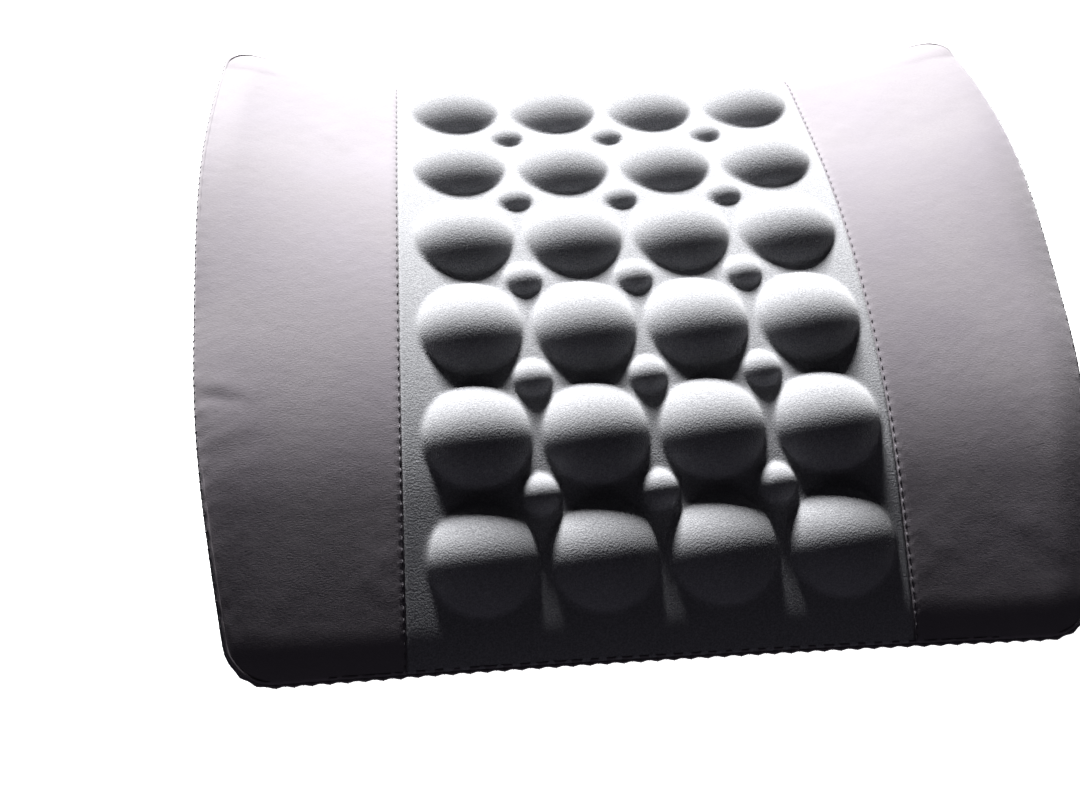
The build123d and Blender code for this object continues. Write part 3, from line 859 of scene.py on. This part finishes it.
# ---- flat back
BACK_STEP = 4.0
BACK_WIDTH = 155.0  # over which the columns spread evenly
BACK_ROWS = 28


def back_piece(name, upper, node):
    """One half of the flat back, from the strap channel to the rounded base edge."""
    c = places(BACK_STEP)[0]
    _, theta = column_share(c)
    base_arc = BASE_HALF_WIDTH - CORNER_RADIUS
    inner = CORNER_RADIUS - BASE_ROUND
    flat_share = np.interp(np.abs(c), [0, 1, 2], [0, SEAM_X / BACK_WIDTH, 1])
    x = np.sign(c) * np.where(np.abs(c) <= 2, flat_share * base_arc, base_arc + inner * np.sin(theta))
    sign = 1 if upper else -1
    edge = (BASE_UPPER_Y - BASE_ROUND) if upper else (BASE_LOWER_Y + BASE_ROUND)
    y_end = edge - sign * inner * (1 - np.cos(theta))
    y_start = sign * CHANNEL_HALF
    t = np.linspace(0, 1, BACK_ROWS)
    y = y_start + (y_end - y_start)[:, None] * t[None, :]
    xs = x[:, None] + 0 * y
    lift = 0.35 * (1 + ripple(xs, y, 11 + upper, 45)) * np.sin(math.pi * t)[None, :] ** 0.5
    points = np.stack([xs, y, np.clip(lift, 0, 1)], -1)
    faces = grid_faces(*points.shape[:2])
    if upper:
        faces = faces[:, ::-1]
    cloth_piece(name, points, faces, BACK, "cloth_back", node)


back_piece("back_upper", True, "back_panel_upper")
back_piece("back_lower", False, "back_panel_lower")


# ---- the strap's channel
def channel_piece():
    """A trough across the back, open at both side walls."""
    corner = 2.0
    turn = np.linspace(0, math.pi / 2, 5)
    wall_z = np.linspace(0, CHANNEL_DEPTH - corner, 7)[:-1]
    half_y = np.concatenate([
        np.full(len(wall_z), CHANNEL_HALF),
        CHANNEL_HALF - corner * (1 - np.cos(turn)),
        np.linspace(CHANNEL_HALF - corner, 0, 14)[1:],
    ])
    half_z = np.concatenate([
        wall_z, CHANNEL_DEPTH - corner + corner * np.sin(turn), np.full(13, CHANNEL_DEPTH),
    ])
    y = np.concatenate([half_y, -half_y[-2::-1]])
    z = np.concatenate([half_z, half_z[-2::-1]])
    share = np.linspace(-1, 1, 110)
    bulge = WALL_BULGE * np.sin(math.pi * z / WALL_HEIGHT) ** 0.8
    end = BASE_HALF_WIDTH + SIDE_LEAN * z + bulge - base_round_off(z)
    x = share[:, None] * (end - 0.3)[None, :]
    lift = 0.4 * ripple(x, y[None, :], 21, 40) * (z > CHANNEL_DEPTH - 0.1) * (1 - share**8)[:, None]
    points = np.stack([x, y[None, :] + 0 * x, z[None, :] + np.clip(lift, 0, 0.8)], -1)
    faces = grid_faces(*points.shape[:2])[:, ::-1]
    cloth_piece("strap_channel", points, faces, BACK, "cloth_back", "strap_channel_panel")


channel_piece()


# ---- thread and cord
def unit(v):
    return v / np.maximum(np.linalg.norm(v, axis=-1, keepdims=True), 1e-9)


def cords(paths, radii, upright, sides=6):
    """Round cords with closed ends along paths (cord, point, 3), one radius for each point."""
    paths = np.asarray(paths, float)
    along = unit(np.gradient(paths, axis=1))
    side = unit(np.cross(along, np.broadcast_to(upright, paths.shape)))
    up = np.cross(side, along)
    angle = (np.arange(sides) * 2 * math.pi / sides)[:, None]
    spoke = np.cos(angle) * side[:, :, None] + np.sin(angle) * up[:, :, None]
    rings = paths[:, :, None] + np.asarray(radii)[None, :, None, None] * spoke
    index = np.arange(rings.size // 3).reshape(rings.shape[:3])
    after = np.roll(index, -1, axis=2)
    faces = np.stack([index[:, :-1], index[:, 1:], after[:, 1:], after[:, :-1]], -1)
    faces = faces.reshape(-1, 4).tolist()
    faces += index[:, 0].tolist() + index[:, -1, ::-1].tolist()
    return rings.reshape(-1, 3), faces


def merged(parts):
    """Several sets of points and faces as one."""
    points, faces, count = [], [], 0
    for part_points, part_faces in parts:
        points.append(part_points)
        faces += [[i + count for i in face] for face in part_faces]
        count += len(part_points)
    return np.concatenate(points), faces


def stepped(line, start, step, count):
    """Points along a line at equal steps."""
    line = np.asarray(line, float)
    length = np.concatenate([[0], np.cumsum(np.linalg.norm(np.diff(line, axis=0), axis=1))])
    at = start + step * np.arange(count)
    return np.stack([np.interp(at, length, line[:, k]) for k in range(3)], -1), length[-1]


STITCH_SINK = 0.45  # of its ends into the cloth


def stitch_row(line, pitch, length, radius, outward):
    """A row of thread stitches lying on a line, each dipping into the cloth at both ends."""
    outward = np.asarray(outward, float)
    total = stepped(line, 0, 1, 1)[1]
    count = int((total - 2) / pitch)
    bend = np.array([-1.0, -0.35, 0, 0.1, 0, -0.35, -1.0])
    paths = []
    for i in range(count):
        points, _ = stepped(line, 1 + i * pitch, length / (len(bend) - 1), len(bend))
        paths.append(points + bend[:, None] * STITCH_SINK * outward)
    radii = radius * np.array([0.7, 0.95, 1, 1, 1, 0.95, 0.7])
    return cords(paths, radii, outward)


def seam_line(sign, inset, lift):
    """A line up a side panel at a distance from its seam."""
    keep = c_all * sign >= 1 - ON_LINE
    p, n = side_points[keep], normals[keep]
    if sign < 0:
        p, n = p[::-1], n[::-1]
    out = np.abs(p[..., 0]) - seam_x(p[..., 0], p[..., 1])
    line = np.empty((p.shape[1], 3))
    for j in range(p.shape[1]):
        near = np.argmin(np.abs(out[:, j] - inset))
        line[j] = [np.interp(inset, out[:, j], p[:, j, k]) for k in range(3)] + n[near, j] * lift
    return line


STITCH_LENGTH = 3.3
STITCH_RADIUS = 0.30
for sign, name in ((-1, "left"), (1, "right")):
    line = seam_line(sign, STITCH_INSET, 0.05)
    stitches = stitch_row(line, STITCH_PITCH, STITCH_LENGTH, STITCH_RADIUS, (0, 0, 1))
    make_piece(f"topstitch_{name}", *stitches, THREAD)


# ---- overlocked outer seam
LIP_REACH = 0.8
LIP_HALF_THICKNESS = 0.8
LIP_SCALLOP = 0.35
LIP_SINK = 0.9  # below the rim's edge
LIP_SIDES = 10
SCALLOP_STEPS = 6
LOOP_STEPS = 3  # from one overlock loop to the next
LOOP_POINTS = 9
LOOP_RADIUS = 0.15
LOOP_CLEARANCE = 0.08


def rim_loop():
    """Evenly spaced points round the outer seam, with the outward and upward directions."""
    loop = np.concatenate([
        rim_points[:-1, 0], rim_points[-1, :-1], rim_points[:0:-1, -1], rim_points[0, :0:-1],
    ])
    closed = np.concatenate([loop, loop[:1]])
    total = stepped(closed, 0, 1, 1)[1]
    count = SCALLOP_STEPS * round(total / SCALLOP_PITCH)
    points, _ = stepped(closed, 0, total / count, count)
    along = unit(np.roll(points, -1, 0) - np.roll(points, 1, 0))
    outward = unit(np.cross(along, (0, 0, 1.0)))
    return points, outward, np.cross(outward, along)


def lip_pieces():
    """The seam's rolled edge, and the overlock thread looped round it."""
    points, outward, up = rim_loop()
    count = len(points)
    wave_at = np.cos(2 * math.pi * np.arange(count) / SCALLOP_STEPS)
    lower_edge = smooth((-outward[:, 1] - 0.5) / 0.4)
    reach = LIP_REACH + LIP_SCALLOP * wave_at * lower_edge + 0.25 * lower_edge
    angle = np.linspace(0, 2 * math.pi, LIP_SIDES + 1)[:-1]
    centre = points - up * LIP_SINK
    ring = centre[:, None] + np.cos(angle)[None, :, None] * (outward * reach[:, None])[:, None]
    ring = ring + np.sin(angle)[None, :, None] * (up * LIP_HALF_THICKNESS)[:, None]
    index = np.arange(count * LIP_SIDES).reshape(count, LIP_SIDES)
    ahead, after = np.roll(index, -1, 0), np.roll(index, -1, 1)
    faces = np.stack([index, ahead, np.roll(ahead, -1, 1), after], -1).reshape(-1, 4)
    make_piece("seam_lip", ring, faces[:, ::-1], SIDE, BODY, (), "cloth_side")
    turn = np.linspace(math.radians(150), math.radians(-110), LOOP_POINTS)
    paths = []
    for i in range(0, count, LOOP_STEPS):
        slant = (points[(i + 1) % count] - points[i]) * np.linspace(-0.5, 0.5, LOOP_POINTS)[:, None]
        path = centre[i] + slant + np.cos(turn)[:, None] * outward[i] * (reach[i] + LOOP_CLEARANCE)
        paths.append(path + np.sin(turn)[:, None] * up[i] * (LIP_HALF_THICKNESS + LOOP_CLEARANCE))
    radii = np.full(LOOP_POINTS, LOOP_RADIUS)
    radii[0] = radii[-1] = LOOP_RADIUS - 0.07
    loops = cords(paths, radii, (0.1, 0.2, 0.97), 5)
    make_piece("overlock_thread", *loops, EDGE_THREAD)


lip_pieces()


# ---- zip coils
COIL_PITCH = 1.25
COIL_WIRE = 0.24
COIL_MIDDLE = 1.32  # from the zip's middle line to a coil's axis
COIL_RADII = (1.04, 0.58)  # along the wall and out of it
COIL_OUT = 0.33  # of its axis from the wall's face
WALL_UP = np.array([0, -math.sin(LOWER_ANGLE), math.cos(LOWER_ANGLE)])
WALL_OUT = np.array([0, -math.cos(LOWER_ANGLE), -math.sin(LOWER_ANGLE)])
ZIP_LINE = np.array([0, BASE_LOWER_Y, 0]) + WALL_UP * ZIP_HEIGHT


def coil_piece(name, sign, phase):
    """A wire wound along the edge of one zip tape."""
    low, high = box_mm(f"zip_coil_{name}")
    x = np.arange(low[0] + COIL_WIRE, high[0] - COIL_WIRE, COIL_PITCH / 10)
    turn = sign * (2 * math.pi * x / COIL_PITCH + phase)
    v = sign * COIL_MIDDLE + COIL_RADII[0] * np.cos(turn)
    w = COIL_OUT + COIL_RADII[1] * np.sin(turn)
    path = x[:, None] * np.array([1.0, 0, 0]) + ZIP_LINE + v[:, None] * WALL_UP + w[:, None] * WALL_OUT
    upright = np.cos(turn)[:, None] * WALL_UP + np.sin(turn)[:, None] * WALL_OUT
    points, faces = cords([path], np.full(len(x), COIL_WIRE), upright[None], 6)
    make_piece(f"coil_{name}", points, faces, COIL, BODY, [f"zip_coil_{name}"], "zip_coil")


coil_piece("upper", 1, 0.0)
coil_piece("lower", -1, math.pi)


# ---- elastic strap
WEBBING_HALF = 12.5
WEBBING_THICKNESS = 1.5
STRAP_END = 158.0
MAIN_LAYER_Z = 9.95
TAIL_LAYER_Z = 8.25
LOOP_BOTTOM_Z = 5.05
BUCKLE_BAR_X = 26.05
TAIL_START_X = 33.0
TAIL_LEVEL_X = 40.0
TURN_RADII = (1.5, 1.5, 5.0, 5.0)
BOX_HALF = 9.5  # of the box stitched through each anchor patch


def rounded_line(corners, radii, step=1.2):
    """A line through corners in XZ, each turned with its radius, as evenly spaced points."""
    corners = [np.array(c, float) for c in corners]
    line = [corners[0]]
    for before, at, after, radius in zip(corners, corners[1:], corners[2:], radii):
        u, v = unit(before - at), unit(after - at)
        half = math.acos(np.clip(u @ v, -1, 1)) / 2
        cut = radius / math.tan(half)
        middle = at + unit(u + v) * radius / math.sin(half)
        start = at + u * cut - middle
        end = at + v * cut - middle
        sweep_angle = math.pi - 2 * half
        for k in range(9):
            f = k / 8
            mixed = start * math.sin((1 - f) * sweep_angle) + end * math.sin(f * sweep_angle)
            line.append(middle + mixed / math.sin(sweep_angle))
    line.append(corners[-1])
    line = np.array([[p[0], 0, p[1]] for p in line])
    total = stepped(line, 0, 1, 1)[1]
    count = int(total / step) + 1
    return stepped(line, 0, total / (count - 1), count)[0]


def band(line, half_width, thickness, across=21):
    """A flat woven band along a line in XZ, with rounded selvedges."""
    along = unit(np.gradient(line, axis=0))
    out = np.cross(along, (0, 1.0, 0))
    u = np.sin(np.linspace(-1, 1, across) * math.pi / 2)
    edge = np.sqrt(np.clip(1 - np.abs(u) ** 14, 0, 1)) * 0.8 + 0.2
    cords_high = 0.03 * np.cos(u * half_width * 2 * math.pi / 2.1)
    half = thickness / 2 * edge + cords_high * edge - 0.03
    y = np.concatenate([u, u[::-1]]) * half_width
    h = np.concatenate([half, -half[::-1]])
    ring = line[:, None] + y[None, :, None] * np.array([0, 1.0, 0]) + h[None, :, None] * out[:, None]
    count, sides = ring.shape[:2]
    index = np.arange(count * sides).reshape(count, sides)
    after = np.roll(index, -1, 1)
    faces = np.stack([index[:-1], index[1:], after[1:], after[:-1]], -1).reshape(-1, 4).tolist()
    return ring.reshape(-1, 3), faces + [index[0].tolist(), index[-1, ::-1].tolist()]


TAIL_ENDS = {"right": 56.0, "left": 112.0}
for sign, name in ((1, "right"), (-1, "left")):
    route = [
        (sign * STRAP_END, MAIN_LAYER_Z),
        (sign * BUCKLE_BAR_X, MAIN_LAYER_Z),
        (sign * BUCKLE_BAR_X, LOOP_BOTTOM_Z),
        (sign * TAIL_START_X, LOOP_BOTTOM_Z),
        (sign * TAIL_LEVEL_X, TAIL_LAYER_Z),
        (sign * TAIL_ENDS[name], TAIL_LAYER_Z),
    ]
    line = rounded_line(route, TURN_RADII)
    low, high = box_mm(f"strap_anchor_{name}")
    middle_z = (low[2] + high[2]) / 2
    patch_line = np.linspace((low[0], 0, middle_z), (high[0], 0, middle_z), 24)
    webbing = band(line, WEBBING_HALF, WEBBING_THICKNESS)
    patch = band(patch_line, high[1], high[2] - low[2])
    nodes = [f"strap_webbing_{name}", f"strap_anchor_{name}"]
    make_piece(f"strap_{name}", *merged([webbing, patch]), WEBBING, BODY, nodes, "webbing")
    # Sewn on with a box and its two diagonals
    x0, x1, z = low[0] + 3, high[0] - 3, MAIN_LAYER_Z - 0.85
    a, b = (x0, -BOX_HALF, z), (x1, -BOX_HALF, z)
    c, d = (x1, BOX_HALF, z), (x0, BOX_HALF, z)
    lines = ((a, b), (b, c), (c, d), (d, a), (a, c), (d, b))
    rows_of_thread = [stitch_row(line, 2.6, 2.0, 0.22, (0, 0, -1)) for line in lines]
    make_piece(f"strap_stitches_{name}", *merged(rows_of_thread), THREAD)


# ---- stage
def floor_material():
    m = Material("floor", 0.6, specular=0.2)
    m.colour(m.mix(m.ramp(m.noise(3.0, 3.0), 0.3, 0.7), (0.86, 0.86, 0.87), (0.90, 0.90, 0.90)))
    m.shader.inputs["Emission Color"].default_value = (1.0, 1.0, 1.0, 1.0)
    m.shader.inputs["Emission Strength"].default_value = FLOOR_GLOW
    m.bump(m.noise(400, 2.0), 0.05, 0.2)
    return m.material


FLOOR_HALF = 1600.0
FLOOR_GLOW = 1.0


def build_floor():
    steps = np.linspace(-FLOOR_HALF, FLOOR_HALF, 5)
    x, y = np.meshgrid(steps, steps, indexing="ij")
    mesh = bpy.data.meshes.new("floor")
    points = np.stack([x, y, np.full_like(x, -0.3)], -1).reshape(-1, 3) * MM
    mesh.from_pydata(points.tolist(), [], grid_faces(5, 5).tolist())
    mesh.materials.append(floor_material())
    floor = bpy.data.objects.new("floor", mesh)
    bpy.context.scene.collection.objects.link(floor)
    floor.visible_glossy = False
    floor.visible_diffuse = False
    floor.visible_shadow = False


VIEW_ANGLES = (-9.79, 57.59, 5.85)  # azimuth, elevation and roll, in degrees
VIEW_PLACE = (-42.4, -56.7, 565.5)  # right, up and back from the crown, as the camera stands
LENS = 41.92
SENSOR = 36.0


def build_camera():
    """Seen from above the lower edge, a little from the left, with the top edge further away."""
    azimuth, elevation, roll = (math.radians(angle) for angle in VIEW_ANGLES)
    back = Vector((
        math.sin(azimuth) * math.cos(elevation),
        -math.cos(azimuth) * math.cos(elevation),
        math.sin(elevation),
    ))
    level = Vector((math.cos(azimuth), math.sin(azimuth), 0))
    upright = back.cross(level)
    right = level * math.cos(roll) + upright * math.sin(roll)
    up = upright * math.cos(roll) - level * math.sin(roll)
    crown = Vector((0, CROWN_Y, CROWN_HEIGHT)) * MM
    camera = bpy.data.objects.new("camera", bpy.data.cameras.new("camera"))
    camera.data.lens = LENS
    camera.data.sensor_width = SENSOR
    across, above, behind = VIEW_PLACE
    place = crown + (back * behind + right * across + up * above) * MM
    turn = Matrix((right, up, back)).transposed().to_4x4()
    camera.matrix_world = Matrix.Translation(place) @ turn
    bpy.context.scene.collection.objects.link(camera)
    bpy.context.scene.camera = camera


def area_light(name, place, aim, size, power, colour=(1, 1, 1)):
    lamp = bpy.data.lights.new(name, "AREA")
    lamp.shape = "RECTANGLE"
    lamp.size, lamp.size_y = size
    lamp.energy = power
    lamp.color = colour
    light = bpy.data.objects.new(name, lamp)
    light.visible_camera = False
    light.location = place
    light.rotation_euler = (Vector(place) - Vector(aim)).to_track_quat("Z", "Y").to_euler()
    bpy.context.scene.collection.objects.link(light)


def build_lights():
    """A low light behind the top edge, and weak ones for what the floor and the room send back."""
    azimuth, elevation, away = math.radians(7.0), math.radians(22.6), 3.0
    place = (
        -away * math.sin(azimuth) * math.cos(elevation),
        away * math.cos(azimuth) * math.cos(elevation),
        away * math.sin(elevation) + 0.08,
    )
    violet = (0.88, 0.84, 1.0)
    area_light("key", place, (0, 0, 0.08), (0.35, 0.6), 475)
    area_light("floor_bounce", (0, 0, -0.8), (0, 0, 0), (2.4, 2.4), 45)
    area_light("front_bounce", (-0.2, -1.6, 0.12), (0, -0.1, 0.06), (2.4, 0.3), 2.2, violet)
    world = bpy.data.worlds.new("world")
    world.use_nodes = True
    world.node_tree.nodes["Background"].inputs["Color"].default_value = (0.90, 0.86, 1.0, 1)
    world.node_tree.nodes["Background"].inputs["Strength"].default_value = 0.025
    bpy.context.scene.world = world


build_floor()
build_camera()
build_lights()
bpy.context.scene.view_settings.view_transform = "Standard"
bpy.context.scene.view_settings.look = "Medium High Contrast"
